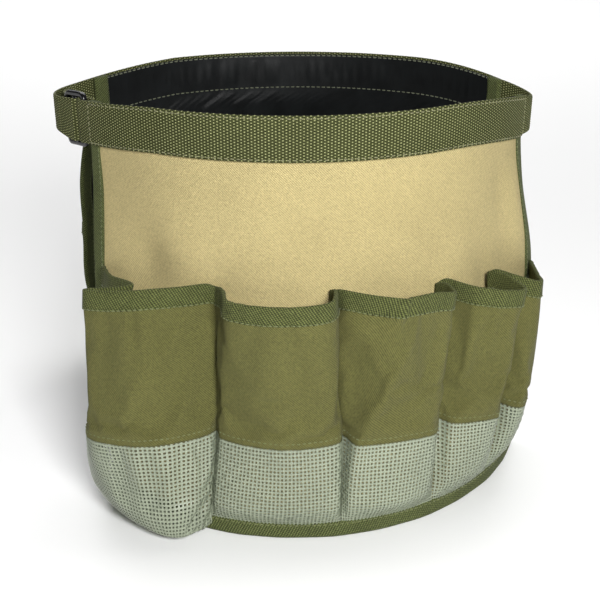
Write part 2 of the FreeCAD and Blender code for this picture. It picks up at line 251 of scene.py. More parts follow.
def lengths_of(grid):
    """Distance along the columns and up the rows of a grid, in mm: its weave coordinates."""
    along = np.linalg.norm(np.diff(grid, axis=1), axis=2).mean(axis=0)
    up = np.linalg.norm(np.diff(grid, axis=0), axis=2).mean(axis=1)
    u = np.concatenate([[0], np.cumsum(along)]) / MM
    v = np.concatenate([[0], np.cumsum(up)]) / MM
    return u, v


def shell(name, grid, out, back, material):
    """Cloth of one grid of points: a closed thin solid from `out` to `back` mm along its normals."""
    rows, cols = grid.shape[:2]
    n = normals_of(grid)
    u, v = lengths_of(grid)
    uv = np.stack(np.broadcast_arrays(u[None, :], v[:, None]), axis=-1)
    front, rear = grid + n * out * MM, grid + n * back * MM
    points = np.stack([front, rear])
    faces = quads(rows, cols) + quads(rows, cols, rows * cols, flip=True) + rim_quads(rows, cols)
    obj = add_mesh(name, points, faces, material, np.stack([uv, uv]))
    return obj, (u[-1] * MM, v[-1] * MM)


def loop_solid(name, rings, material, uv):
    """A solid through closed rings of points: rings[k] is one ring, and both ends are capped."""
    faces = [face[::-1] for face in tube_faces(*rings.shape[:2])]
    return add_mesh(name, rings, faces, material, uv)


FOLD_TURNS = (30, 60, 90, 120, 150)
TAPE_LIP, TAPE_ROUND = 0.15, 0.1


def tape(name, grid, half, wrap, material, flip=False):
    """Tape folded over an edge: grid rows run from the tape's inner border to the edge."""
    n = normals_of(grid) * (-1 if flip else 1)
    edge = unit(grid[-1] - grid[-2])
    over, lip = half + wrap, half + TAPE_LIP
    section = [grid[0] + n[0] * lip * MM, grid[0] + n[0] * (over - TAPE_ROUND) * MM]
    section += [grid[k] + n[k] * over * MM for k in range(1, len(grid))]
    for turn in FOLD_TURNS:
        out, on = math.cos(math.radians(turn)), math.sin(math.radians(turn))
        section.append(grid[-1] + (n[-1] * out + edge * on) * over * MM)
    section += [grid[k] - n[k] * over * MM for k in range(len(grid) - 1, 0, -1)]
    section += [grid[0] - n[0] * (over - TAPE_ROUND) * MM, grid[0] - n[0] * lip * MM]
    rings = np.stack(section, axis=1)
    v = lengths_along(rings.mean(axis=0)) / MM
    u = lengths_along(grid[-1]) / MM
    uv = np.stack(np.broadcast_arrays(u[:, None], v[None, :]), axis=-1)
    if flip:
        rings, uv = rings[:, ::-1], uv[:, ::-1]
    return loop_solid(name, rings, material, uv)


def cubic(grid, at, axis):
    """Points of a grid at fractional places on one axis, by Catmull-Rom."""
    g = np.moveaxis(grid, axis, 0)
    i = np.clip(np.floor(at).astype(int), 0, len(g) - 2)
    t = (at - i).reshape((-1,) + (1,) * (g.ndim - 1))
    p0, p1, p2, p3 = (g[np.clip(i + k, 0, len(g) - 1)] for k in (-1, 0, 1, 2))
    out = 0.5 * (
        2 * p1 + (p2 - p0) * t
        + (2 * p0 - 5 * p1 + 4 * p2 - p3) * t**2
        + (3 * p1 - p0 - 3 * p2 + p3) * t**3
    )
    return np.moveaxis(out, 0, axis)


def surface_at(grid, u, v, at_u, at_v):
    """The grid's surface at places at_u along and at_v up, in its weave coordinates u and v."""
    rows = np.interp(at_v, v, np.arange(len(v)))
    cols = np.interp(at_u, u, np.arange(len(u)))
    return cubic(cubic(grid, rows, 0), cols, 1)


def refined(grid, step, rows=None):
    """The same surface with points about step mm apart."""
    u, v = lengths_of(grid)
    rows = rows or max(3, round(v[-1] / step) + 1)
    cols = max(3, round(u[-1] / step) + 1)
    return surface_at(grid, u, v, np.linspace(0, u[-1], cols), np.linspace(0, v[-1], rows))


# ---- stitches
STITCH_SIDES = 6
# Each ring of a stitch: its place from end to end, and its share of the thread's radius.
STITCH_RINGS = ((-1.0, 0.35), (-0.72, 0.92), (0.0, 1.0), (0.72, 0.92), (1.0, 0.35))
STITCH_LIFT, STITCH_DIP = 0.12, 0.42
STITCH_FACES = tube_faces(len(STITCH_RINGS), STITCH_SIDES)


class Thread:
    """Collects stitches, each a short rounded bead that dips into the cloth at both ends."""

    def __init__(self):
        self.beads = []

    def run(self, line, out, pitch=3.2, length=2.3, radius=0.34):
        """A row of stitches along a line; out is the cloth's normal at each of its points."""
        gone = lengths_along(line)
        total = gone[-1] / MM
        count = max(1, int((total - length) / pitch) + 1)
        for middle in (np.arange(count) + 0.5) * (total / count):
            at = np.clip(np.array([middle - length / 2, middle, middle + length / 2]), 0, total) * MM
            ends = np.stack([np.interp(at, gone, line[:, k]) for k in range(3)], axis=1)
            up = unit(np.array([np.interp(at[1], gone, out[:, k]) for k in range(3)]))
            along = ends[2] - ends[0]
            side = unit(np.cross(up, along))
            bead = []
            for t, share in STITCH_RINGS:
                place = ends[1] + along / 2 * t + up * (STITCH_LIFT - STITCH_DIP * t * t) * MM
                for k in range(STITCH_SIDES):
                    turn = 2 * math.pi * k / STITCH_SIDES
                    bead.append(place + (side * math.cos(turn) + up * math.sin(turn)) * share * radius * MM)
            self.beads.append(bead)

    def made(self, name, material, body):
        points = np.array(self.beads)
        size = points.shape[1]
        faces = [[k * size + corner for corner in face] for k in range(len(points)) for face in STITCH_FACES]
        obj = add_mesh(name, points, faces, material)
        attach(obj, body)
        return obj


# ---- materials
def shade(colour, by):
    return tuple(min(1.0, c * by) for c in colour)


class Finish:
    """A node material on one Principled shader."""

    def __init__(self, name, **sockets):
        self.material = bpy.data.materials.new(name)
        self.material.use_nodes = True
        self.tree = self.material.node_tree
        self.shader = self.tree.nodes["Principled BSDF"]
        for socket, value in sockets.items():
            self.shader.inputs[socket.replace("_", " ")].default_value = value
        self.count = 0

    def node(self, kind, **settings):
        n = self.tree.nodes.new(kind)
        n.location = (-220 * (1 + self.count % 6), -160 * (self.count // 6))
        self.count += 1
        for key, value in settings.items():
            setattr(n, key, value)
        return n

    def join(self, socket, value):
        if isinstance(value, (int, float, tuple)):
            socket.default_value = value
        else:
            self.tree.links.new(value, socket)

    def math(self, operation, a, b=0.0, c=0.0):
        n = self.node("ShaderNodeMath", operation=operation)
        for socket, value in zip(n.inputs, (a, b, c)):
            self.join(socket, value)
        return n.outputs[0]

    def weave(self):
        """Weave coordinates in mm."""
        uv = self.node("ShaderNodeUVMap", uv_map="Weave")
        apart = self.node("ShaderNodeSeparateXYZ")
        self.join(apart.inputs[0], uv.outputs[0])
        return [self.math("MULTIPLY", apart.outputs[k], 1 / UV_PER_MM) for k in (0, 1)]

    def wave(self, u, v, along, across):
        """Cosine of a band pattern: along and across are turns per mm."""
        rise = self.math("MULTIPLY", v, 2 * math.pi * across)
        return self.math("COSINE", self.math("MULTIPLY_ADD", u, 2 * math.pi * along, rise))

    def noise(self, scale, detail=3.0, rough=0.55):
        n = self.node("ShaderNodeTexNoise")
        self.join(n.inputs["Vector"], self.node("ShaderNodeTexCoord").outputs["Object"])
        n.inputs["Scale"].default_value = scale
        n.inputs["Detail"].default_value = detail
        n.inputs["Roughness"].default_value = rough
        return n.outputs[0]

    def fibres(self, height, scale, depth):
        """The height with fine loose fibres on it."""
        fuzz = self.math("MULTIPLY_ADD", self.noise(scale, 2.0, 0.7), depth, -depth / 2)
        return self.math("ADD", height, fuzz)

    def ramp(self, value, stops):
        n = self.node("ShaderNodeValToRGB")
        self.join(n.inputs[0], value)
        band = n.color_ramp
        while len(band.elements) < len(stops):
            band.elements.new(0.5)
        for element, (place, colour) in zip(band.elements, stops):
            element.position = place
            element.color = (*colour, 1)
        return n.outputs[0]

    def colour(self, value):
        self.join(self.shader.inputs["Base Color"], value)

    def between(self, value, colour, low, high):
        """Colours the shader with shades of one colour, from low to high times it."""
        self.colour(self.ramp(value, ((0.3, shade(colour, low)), (0.7, shade(colour, high)))))

    def mottled(self, base, scale, detail, least):
        """Colours the shader with base, slowly changing down to least times it."""
        slow = self.ramp(self.noise(scale, detail), ((0.3, (least,) * 3), (0.7, (1.0,) * 3)))
        n = self.node("ShaderNodeMix", data_type="RGBA", blend_type="MULTIPLY")
        for socket, value in ((0, 1.0), (6, base), (7, slow)):
            self.join(n.inputs[socket], value)
        self.colour(n.outputs[2])

    def grained(self, height, share, stops, mottle, relief):
        """Colours the shader by a height, with mottling over it, and raises it in relief."""
        tone = self.math("MULTIPLY_ADD", height, share, 0.5)
        self.mottled(self.ramp(tone, stops), *mottle)
        self.bump(height, *relief)

    def rough(self, value):
        self.join(self.shader.inputs["Roughness"], value)

    def bump(self, height, strength, distance):
        n = self.node("ShaderNodeBump")
        n.inputs["Strength"].default_value = strength
        n.inputs["Distance"].default_value = distance * MM
        self.join(n.inputs["Height"], height)
        self.join(self.shader.inputs["Normal"], n.outputs[0])


def woven(name, colour, contrast, pitch):
    """Heavy woven polyester: a fine diagonal grain of yarns over slow colour changes."""
    f = Finish(name, Roughness=0.78, Sheen_Weight=0.03, Sheen_Roughness=0.45, Specular_IOR_Level=0.2)
    u, v = f.weave()
    diagonal = f.wave(u, v, 1 / pitch, 1 / pitch)
    cross = f.wave(u, v, 1.9 / pitch, -1.9 / pitch)
    height = f.fibres(f.math("MULTIPLY_ADD", cross, 0.45, diagonal), 780, 3.2)
    stops = ((0.0, shade(colour, 1 - contrast)), (1.0, shade(colour, 1 + contrast)))
    f.grained(height, 0.25, stops, (24, 4.0, 0.88), (0.8, 0.14))
    return f.material


def twill_tape(name, colour, pitch):
    """Binding tape with steep ribs across its width."""
    f = Finish(name, Roughness=0.85, Sheen_Weight=0.03, Sheen_Roughness=0.5, Specular_IOR_Level=0.15)
    u, v = f.weave()
    rib = f.wave(u, v, 1 / pitch, 0.6 / pitch)
    fine = f.wave(u, v, -0.5 / pitch, 1.3 / pitch)
    height = f.fibres(f.math("MULTIPLY_ADD", fine, 0.6, rib), 900, 3.0)
    stops = ((0.0, shade(colour, 0.12)), (0.5, shade(colour, 0.9)), (1.0, shade(colour, 2.8)))
    f.grained(height, 0.25, stops, (40, 3.0, 0.86), (0.7, 0.16))
    return f.material


DOT_ALONG, DOT_ACROSS = 1.85, 1.65
# Painted highlight colour for the tops of the webbing's knuckles.
KNUCKLE_HIGHLIGHT = (0.40, 0.41, 0.20)


def webbing_finish(name, colour):
    """Polypropylene webbing: rows of staggered knuckles in relief, coloured by height with a painted
    highlight on their tops and painted shade in the dark gaps between them.
    """
    f = Finish(name, Roughness=0.7, Specular_IOR_Level=0.12)
    u, v = f.weave()
    a = f.math("COSINE", f.math("MULTIPLY", u, math.pi / DOT_ALONG))
    b = f.math("COSINE", f.math("MULTIPLY", v, 2 * math.pi / DOT_ACROSS))
    ridge = f.math("MULTIPLY", a, a)
    knuckle = f.math("MULTIPLY", f.math("MULTIPLY", ridge, a), b)
    knuckle = f.math("MULTIPLY_ADD", ridge, 0.5, f.math("ADD", knuckle, -0.25))
    strand = f.wave(u, v, 2.6, 0.5)
    height = f.fibres(f.math("MULTIPLY_ADD", strand, 0.18, knuckle), 1300, 0.9)
    # Colours by height: painted shade down in the gaps between knuckles, painted highlight on their tops.
    stops = (
        (0.0, shade(colour, 0.1)),
        (0.38, shade(colour, 0.36)),
        (0.64, shade(colour, 1.1)),
        (0.9, KNUCKLE_HIGHLIGHT),
    )
    f.grained(height, 0.4, stops, (30, 3.0, 0.84), (0.6, 0.25))
    return f.material


def coated(name, colour):
    """Thin coated lining: nearly black, with a faint grid of yarns and a soft shine."""
    f = Finish(name, Specular_IOR_Level=0.2)
    u, v = f.weave()
    grid = f.math("ADD", f.wave(u, v, 1.7, 0.0), f.wave(u, v, 0.0, 1.7))
    slow = f.noise(60, 4.0)
    f.between(slow, colour, 0.7, 1.5)
    f.rough(f.math("MULTIPLY_ADD", slow, 0.25, 0.3))
    f.bump(f.math("MULTIPLY_ADD", f.noise(220, 3.0), 1.5, f.math("MULTIPLY", grid, 0.3)), 0.35, 0.12)
    return f.material


def plastic_net(name, colour):
    """Coated yarns of the open mesh."""
    f = Finish(name, Roughness=0.42, Specular_IOR_Level=0.5, Coat_Weight=0.12, Coat_Roughness=0.3)
    fine = f.noise(900, 2.0)
    tone = f.math("MULTIPLY_ADD", fine, 0.4, f.math("MULTIPLY", f.noise(35, 3.0), 0.6))
    f.between(tone, colour, 0.82, 1.1)
    f.bump(fine, 0.3, 0.1)
    return f.material


def moulded(name, colour):
    """Shiny moulded plastic."""
    f = Finish(name, Specular_IOR_Level=0.4, Coat_Weight=0.15, Coat_Roughness=0.06)
    slow = f.noise(120, 3.0)
    f.between(slow, colour, 0.8, 1.4)
    f.rough(f.math("MULTIPLY_ADD", slow, 0.12, 0.14))
    f.bump(f.noise(700, 2.0), 0.08, 0.05)
    return f.material


def yarn(name, colour):
    """Sewing thread."""
    f = Finish(name, Roughness=0.6, Sheen_Weight=0.25, Sheen_Roughness=0.4)
    fine = f.noise(2200, 2.0)
    f.between(fine, colour, 0.6, 1.3)
    f.bump(fine, 0.5, 0.08)
    return f.material


TAN = woven("tan fabric", (0.53, 0.440, 0.210), 0.48, 1.4)
OLIVE = woven("olive fabric", (0.124, 0.121, 0.037), 0.64, 1.35)
HEM = twill_tape("hem tape", (0.076, 0.086, 0.028), 1.5)
BINDING = twill_tape("binding tape", (0.078, 0.092, 0.032), 1.5)
WEB = webbing_finish("webbing", (0.092, 0.103, 0.033))
LINING = coated("lining", (0.0036, 0.0044, 0.0046))
NET = plastic_net("mesh yarn", (0.278, 0.312, 0.222))
PLASTIC = moulded("buckle plastic", (0.006, 0.006, 0.007))
THREAD = yarn("olive thread", (0.150, 0.170, 0.062))
PALE_THREAD = yarn("belt thread", (0.200, 0.195, 0.100))
LINING_THREAD = yarn("lining thread", (0.150, 0.165, 0.100))


# ---- panels, linings and bindings
SIDES = ("front", "back")
SEEDS = {"front": 11, "back": 51}
BINDING_WIDTH = 9.0
PANEL_INSET, PANEL_FOOT, PANEL_STEP = 2.5, 2.0, 2.4
LINING_COLUMNS, LINING_ROWS, LINING_HALF = 270, 120, 0.25
TAPE_EDGE, TAPE_FOOT, SIDE_TAPE_WRAP = 0.4, 1.5, 0.6
FOOT_MIDDLE, FOOT_HALF, FOOT_WRAP = -0.75, 1.55, 0.62
SEAMS_HIGH = (87.0, 149.0, 211.0, 251.0)
SEAMS_LOW = (73.0, 147.0, 203.0, 251.0)
LINING_ROWS_OF_STITCHES = (BELT_HIGH - 2.0, BELT_LOW + 1.4)

# Soft places of the panel above the pockets: along, height, half width, half height, depth.
DENTS = (
    (41.0, 139.0, 15.0, 16.0, -4.6),
    (66.0, 150.0, 15.0, 26.0, 1.8),
    (272.0, 165.0, 9.0, 30.0, -2.0),
    (289.0, 165.0, 9.0, 30.0, 2.2),
    (176.0, 152.0, 16.0, 14.0, 1.2),
)


# Waves that ripple adds together: how many, the longest and the shortest.
PANEL_WAVES, FOLD_WAVES, SWAY_WAVES = (7, 150, 55), (9, 26, 6), (5, 90, 35)
SIDE_TAPE_WAVES, FOOT_EDGE_WAVES, FOOT_WAVES = (5, 60, 18), (6, 70, 20), (5, 80, 25)
WAVE_DEPTH, FOLD_DEPTH, FOLD_EASE, FOLD_STRETCH, SWAY_DEPTH = 0.55, 0.55, 0.55, 0.06, 0.5
FOLDS_HELD, FOLDS_FADE, FOLDS_CLEAR = 5.0, 60, 14
SEAM_PULL, SEAM_HALF, SEAM_SPREAD = 1.1, 7, 9
DENTS_FADE, DENTS_FROM = 30, 8


def panel_dents(s, z, seed):
    """Soft waves of a hanging panel, with a dimple where each pocket seam pulls it."""
    d = WAVE_DEPTH * ripple(s, z, seed, *PANEL_WAVES)
    for at_s, at_z, wide, tall, depth in DENTS:
        d = d + depth * np.exp(-(((s - at_s) / wide) ** 2) - ((z - at_z) / tall) ** 2)
    for high, low in zip(SEAMS_HIGH, SEAMS_LOW):
        seam = low + (high - low) * np.minimum(z, HEM_TOP) / HEM_TOP
        over = np.clip((z - HEM_TOP + 3) / DENTS_FADE, 0, 3)
        reach = SEAM_HALF + SEAM_SPREAD * over
        d = d - SEAM_PULL * bell((s - seam) / reach) * bell(over)
    return d * ease((BELT_LOW - z) / DENTS_FADE) * ease((z - DENTS_FROM) / DENTS_FADE)


def puckers(s, z, seed):
    """Upright folds of the lining, held flat at its two rows of stitches."""
    folds = ripple(s, z * FOLD_STRETCH, seed, *FOLD_WAVES)
    sway = ripple(s, z, seed + 1, *SWAY_WAVES)
    high, low = LINING_ROWS_OF_STITCHES
    near = np.minimum(np.abs(z - high), np.abs(z - low))
    free = 1 - bell(near / FOLDS_HELD)
    below = np.clip((low - z) / FOLDS_FADE, 0, 1)
    from_edges = (s - BINDING_WIDTH, PANEL_WIDTH - BINDING_WIDTH - s)
    clear = ease(from_edges[0] / FOLDS_CLEAR) * ease(from_edges[1] / FOLDS_CLEAR)
    return (FOLD_DEPTH * folds * (1 - FOLD_EASE * below) + SWAY_DEPTH * sway) * free * clear


def sheet_places(rows, cols, high):
    """Places along and up a panel-sized sheet, inside its bound edges."""
    along = np.linspace(PANEL_INSET, PANEL_WIDTH - PANEL_INSET, cols)
    return np.meshgrid(along, np.linspace(PANEL_FOOT, high, rows))


def make_panel(side, seed):
    high = RIM - 0.8
    cols = round((PANEL_WIDTH - 2 * PANEL_INSET) / PANEL_STEP) + 1
    rows = round((high - PANEL_FOOT) / PANEL_STEP) + 1
    s, z = sheet_places(rows, cols, high)
    grid = panel_point(side, s, z, panel_dents(s, z, seed))
    panel, cut = shell(f"{side}_panel_cloth", grid, 0.0, 0.1 - PANEL_SKIN, TAN)
    place_piece(panel, f"{side}_half", f"{side}_panel")
    return panel, cut


def make_lining(side, seed):
    s, z = sheet_places(LINING_ROWS, LINING_COLUMNS, RIM - 0.4)
    folds = np.abs(puckers(s, z, seed + 2))
    grid = panel_point(side, s, z, -STACK + 0.3 + panel_dents(s, z, seed) - 0.5 * folds)
    lining, cut = shell(f"{side}_lining_cloth", grid, LINING_HALF, -LINING_HALF, LINING)
    place_piece(lining, f"{side}_half", f"{side}_lining")
    return lining, cut


def side_tape(side, edge, seed):
    """The tape folded round a panel's left or right edge."""
    left = edge == "left"
    s_edge = TAPE_EDGE if left else PANEL_WIDTH - TAPE_EDGE
    s_inner = BINDING_WIDTH if left else PANEL_WIDTH - BINDING_WIDTH
    z = np.linspace(TAPE_FOOT, RIM + 0.4, 90)[None, :]
    s = np.linspace(s_inner, s_edge, 6)[:, None]
    wobble = 0.35 * ripple(s * 0, z, seed + 3 + int(s_edge), *SIDE_TAPE_WAVES)
    s = s + wobble * (s == s_inner)
    grid = panel_point(side, s, z, -STACK / 2 + panel_dents(s, z, seed))
    return tape(f"{side}_binding_{edge}_tape", grid, STACK / 2, SIDE_TAPE_WRAP, BINDING, left)


def foot_tape(side, seed):
    """The tape folded round a panel's lower edge, over the pockets' feet."""
    s = np.linspace(0.2, PANEL_WIDTH - 0.2, 240)
    z = np.linspace(BINDING_WIDTH, 1.75, 6)[:, None]
    waver = 0.3 * ripple(s, s * 0, seed + 5, *FOOT_EDGE_WAVES)
    waves = 0.2 * ripple(s, s * 0, seed + 6, *FOOT_WAVES)
    z = z + waver * (z == BINDING_WIDTH)
    grid = panel_point(side, s, z, FOOT_MIDDLE + waves)
    return tape(f"{side}_binding_foot_tape", grid, FOOT_HALF, FOOT_WRAP, BINDING, True)


def stitched(thread, side, s, z, depth, dents, way, **settings):
    """Sews along places of a panel, on its outside (way 1) or on its inside (way -1)."""
    line = panel_point(side, s, z, depth + dents)
    out = (panel_point(side, s, z, depth + 1) - line) * way
    thread.run(line, out, **settings)


SEWN_IN, FOOT_SEWN_IN, TAPE_SURFACE = 1.3, 1.5, 0.62


def binding_stitches(side, seed):
    thread = Thread()
    z = np.linspace(9, BELT_LOW - 1, 160)
    for edge in (BINDING_WIDTH - SEWN_IN, PANEL_WIDTH - BINDING_WIDTH + SEWN_IN):
        dents = panel_dents(edge, z, seed)
        stitched(thread, side, edge, z, TAPE_SURFACE, dents, 1)
        stitched(thread, side, edge, z, -STACK - TAPE_SURFACE, dents, -1)
    s = np.linspace(3, PANEL_WIDTH - 3, 320)
    for way in (1, -1):
        depth = FOOT_MIDDLE + way * (FOOT_HALF + FOOT_WRAP)
        stitched(thread, side, s, BINDING_WIDTH - FOOT_SEWN_IN, depth, 0, way)
    return thread.made(f"{side}_binding_stitches", THREAD, f"{side}_half")


def lining_stitches(side):
    thread = Thread()
    s = np.linspace(4, PANEL_WIDTH - 4, 320)
    for level in LINING_ROWS_OF_STITCHES:
        stitched(thread, side, s, level, -STACK - 0.15, 0, -1, pitch=3.6, length=2.6)
    return thread.made(f"{side}_lining_stitches", LINING_THREAD, f"{side}_half")


def bound_panel(side, seed):
    """One panel with its lining, the tape round its three edges and all their stitches."""
    panel, cut = make_panel(side, seed)
    lining, lining_cut = make_lining(side, seed)
    tapes = [side_tape(side, "left", seed), side_tape(side, "right", seed), foot_tape(side, seed)]
    for piece, edge in zip(tapes, ("left", "right", "foot")):
        place_piece(piece, f"{side}_half", f"{side}_binding_{edge}")
    tapes.append(binding_stitches(side, seed))
    rows = lining_stitches(side)


for side in SIDES:
    bound_panel(side, SEEDS[side])


# ---- pockets
# Each row is a line round a pocket from its left seam to its right one: the places along the panel
# and how far out they stand, at the hem, where the mesh starts, low on the mesh, and at the foot.
POCKETS = (
    (
        ((11, 29, 49, 32, 43, 57, 70, 81, 87), (1, 13, 22, 35.5, 34, 27.5, 17.5, 8, 1)),
        ((9.5, 13, 20, 29, 42, 58, 71, 79, 82), (1, 14, 27, 38.5, 37.5, 30.5, 18, 8, 1)),
        ((8.5, 7, 9, 27, 43, 58, 70, 76, 77), (1, 11, 21, 28.5, 30, 28, 20, 9, 1)),
        ((8, 6, 8, 24, 42, 57, 66, 72, 74), (1, 5, 10, 16, 19.5, 20.5, 17, 7, 1)),
    ),
    (
        ((87, 94, 99, 107, 120, 134, 145.5, 149.5, 149), (1, 12.5, 24.5, 29, 31, 30, 25, 12, 1)),
        ((82, 85, 88, 101, 118, 134, 146, 149, 148.5), (1, 6, 10, 14, 16.5, 15, 11.5, 6, 1)),
        ((75, 78, 82, 95, 115, 133, 144, 147, 147.5), (1, 5, 8.5, 10.5, 11.5, 10, 8.5, 4.5, 1)),
        ((73, 76, 80, 93, 113, 132, 143, 146, 147), (0.9, 1.8, 2.4, 2.8, 3, 2.7, 2.4, 1.8, 0.9)),
    ),
    (
        ((149, 157, 177, 182, 188, 196, 206, 210.5, 211), (1, 13, 28.5, 28.7, 28.3, 27, 24, 12, 1)),
        ((148.5, 152, 156, 166, 180, 189, 196, 203, 206), (1, 6, 15.5, 17, 18.3, 19, 18, 9, 1)),
        ((147.5, 149, 152, 164, 177, 187, 195, 201, 204), (1, 5, 9, 11.5, 12.5, 12, 10.5, 5, 1)),
        ((147, 149, 152, 164, 177, 187, 195, 201, 203), (0.9, 1.8, 2.4, 2.9, 3, 2.9, 2.4, 1.8, 0.9)),
    ),
    (
        ((211, 216.5, 219, 222, 227, 233, 244, 250, 251), (1, 4, 12, 20.5, 26.5, 31.5, 33.5, 17, 3)),
        ((206, 209.5, 212, 217, 224, 231, 237, 246, 250), (1, 3.5, 10, 13.5, 17, 20, 20.5, 12, 1.5)),
        ((204, 207, 210, 217, 225, 232, 240, 247, 250.5), (1, 5, 8, 10, 11, 11.5, 9.5, 5, 1)),
        ((203, 206, 210, 217, 225, 233, 242, 248, 251), (0.9, 1.8, 2.4, 2.8, 3, 2.8, 2.4, 1.8, 0.9)),
    ),
    (
        ((251, 252.5, 255, 260, 265, 273, 284, 294, 301), (3, 10, 19, 28, 28.5, 21.5, 13, 6, 1)),
        ((250, 250, 250.5, 253, 258, 267, 279, 291, 301), (1.5, 11, 18, 23, 23.5, 19, 12, 5.5, 1)),
        ((250.5, 252, 255, 260, 267, 275, 285, 294, 301), (1, 6, 9.5, 11, 10.5, 9, 6, 3, 1)),
        ((251, 253, 256, 262, 270, 278, 288, 296, 301), (0.9, 1.8, 2.4, 2.8, 2.8, 2.6, 2.2, 1.6, 0.9)),
    ),
)
# Slanting creases of the pocket faces: where each starts and ends (along, height), half width, depth.
CREASES = (
    ((80.0, 128.0), (50.0, 78.0), 4.5, 1.7),
    ((70.0, 122.0), (44.0, 84.0), 5.0, -1.5),
    ((40.0, 118.0), (46.0, 74.0), 6.0, -1.2),
    ((128.0, 126.0), (118.0, 88.0), 6.0, -0.9),
    ((169.0, 120.0), (151.0, 62.0), 6.5, -5.5),
    ((180.0, 114.0), (158.0, 62.0), 4.5, 1.4),
    ((200.0, 124.0), (188.0, 84.0), 5.0, -0.9),
    ((246.0, 122.0), (232.0, 84.0), 4.5, -1.1),
)

# Heights of a pocket's lines; the lowest one is tucked behind the foot tape.
FOOT_TUCK, FOOT_TOP, MESH_LOW, MESH_TOP = 7.6, 10.2, 22.0, 60.0
KNOT_LEVELS = (FOOT_TUCK, FOOT_TOP, MESH_LOW, MESH_TOP, HEM_TOP)
KNOT_PLACES = (0.0, 8.0, 23.0, 61.0, 136.0)
LEVEL_STEPS = (5, 5, 13, 25)
MESH_ROW = sum(LEVEL_STEPS[:3])
HEM_ROWS = 3
SIM_STEP = 3.2
TUCK_DEPTH = 0.9

# The right-hand pockets droop a little, and each hem dips at its ends.
DROOP_FROM, DROOP_TO, HEM_DROOP, MESH_DROOP = 190.0, 218.0, 5.0, 3.0
END_DIP, END_REACH = 3.2, 0.07
FIRST_DIP, FIRST_REACH, LAST_DIP = 2.5, 0.24, 4.0
# The first pocket's foot hangs below the others.
FIRST_TUCK, FIRST_FOOT, FIRST_FOOT_MORE, FIRST_FOOT_SPAN = 4.0, 1.5, 4.5, 60
CREASE_FROM, CREASE_FADE, CREASE_LEAD = 3, 11, 6


def drooped(level, s):
    """The height of a pocket's line where it droops towards the right-hand pockets."""
    fall = ease((s - DROOP_FROM) / (DROOP_TO - DROOP_FROM))
    return level - fall * (HEM_DROOP if level == HEM_TOP else MESH_DROOP)


def end_drop(number, share):
    """How far the hem dips at a pocket's ends, where it is sewn to the panel."""
    dip = END_DIP * (bell(share / END_REACH) + bell((1 - share) / END_REACH))
    if number == 0:
        dip = np.where(share < 0.5, FIRST_DIP * ease(1 - share / FIRST_REACH), dip)
    if number == len(POCKETS) - 1:
        dip = np.where(share > 0.5, LAST_DIP * ease((share - 0.5) / 0.5), dip)
    return dip


def line_heights(number, level, s):
    """Heights along one of a pocket's lines."""
    z = drooped(level, s) if level > MESH_LOW else np.full(len(s), level)
    if level == HEM_TOP:
        z = z - end_drop(number, np.linspace(0, 1, len(s)))
    if number == 0 and level == FOOT_TUCK:
        z = z - FIRST_TUCK
    if number == 0 and level == FOOT_TOP:
        z = z - FIRST_FOOT - FIRST_FOOT_MORE * np.clip(s / FIRST_FOOT_SPAN, 0, 1)
    return z


def pocket_sheet(number, lines):
    """Grid of one pocket, foot to hem: place along the panel, distance out and height."""
    lines = [np.array(line, float).T for line in lines]
    span = lengths_along(lines[0])[-1]
    samples = max(17, round(span / SIM_STEP))
    hem, mesh, low, foot = (cubic(p, np.linspace(0, len(p) - 1, samples), 0) for p in lines)
    tuck = np.column_stack([foot[:, 0], np.minimum(foot[:, 1], TUCK_DEPTH)])
    knots = []
    for level, line in zip(KNOT_LEVELS, (tuck, foot, low, mesh, hem)):
        knots.append(np.column_stack([line, line_heights(number, level, line[:, 0])]))
    spans = zip(KNOT_PLACES, KNOT_PLACES[1:], LEVEL_STEPS)
    rows = [np.linspace(start, end, steps + 1)[:-1] for start, end, steps in spans]
    return smooth_through(KNOT_PLACES, np.array(knots), np.concatenate(rows + [[KNOT_PLACES[-1]]]))


def crease(flat, start, end, width, depth):
    """Presses one slanting crease into the pockets, where they stand well out from the panel."""
    line = np.subtract(end, start)
    way = unit(line)
    from_start = flat[..., [0, 2]] - start
    along = from_start @ way
    across = from_start @ (way[1], -way[0])
    share = np.clip(along / np.linalg.norm(line), 0, 1)
    fade = np.sin(math.pi * (0.12 + 0.8 * share)) * ease((flat[..., 1] - CREASE_FROM) / CREASE_FADE)
    within = (along > -CREASE_LEAD) * (share < 1)
    flat[..., 1] += depth * fade * bell(across / width) * within


def pocket_strip():
    """Grid of all the pockets side by side, and the column where each one starts."""
    columns, starts = [], [0]
    for number, lines in enumerate(POCKETS):
        sheet = pocket_sheet(number, lines)
        starts.append(starts[-1] + sheet.shape[1] - 1)
        columns.append(sheet if number == 0 else sheet[:, 1:])
    flat = np.concatenate(columns, axis=1)
    for line in CREASES:
        crease(flat, *line)
    return flat, starts


DRAPE_FRAMES, DRAPE_MOST = 26, 6.5
CLOTH_SETTINGS = dict(
    quality=7, mass=0.12, vertex_group_mass="held", pin_stiffness=1.2, shrink_min=-0.016,
    tension_stiffness=22, compression_stiffness=22, shear_stiffness=9, bending_stiffness=1.6,
    tension_damping=12, compression_damping=12, shear_damping=12, bending_damping=1.5,
)
GRAVITY_SHARE, CLOTH_GAP, WALL_GAP, WALL_FRICTION = 0.6, 0.9, 0.6, 4


MESH_HELD, HEM_HELD, SEAM_HELD = 0.8, 0.72, 0.7


def hold_weights(rows, cols, starts):
    """How firmly each point of the pockets is held: 1 is fast, at the foot and at the seams."""
    held = np.zeros((rows, cols))
    foot = LEVEL_STEPS[0] - 1
    held[:foot] = 1
    held[foot : MESH_ROW - 1, starts[1] :] = MESH_HELD
    held[-HEM_ROWS:] = HEM_HELD
    held[MESH_ROW - 1 : MESH_ROW + 1] = SEAM_HELD
    for column in starts:
        held[:, column] = 1
        for beside in (column - 1, column + 1):
            if 0 <= beside < cols:
                held[:, beside] = np.maximum(held[:, beside], SEAM_HELD)
    return held


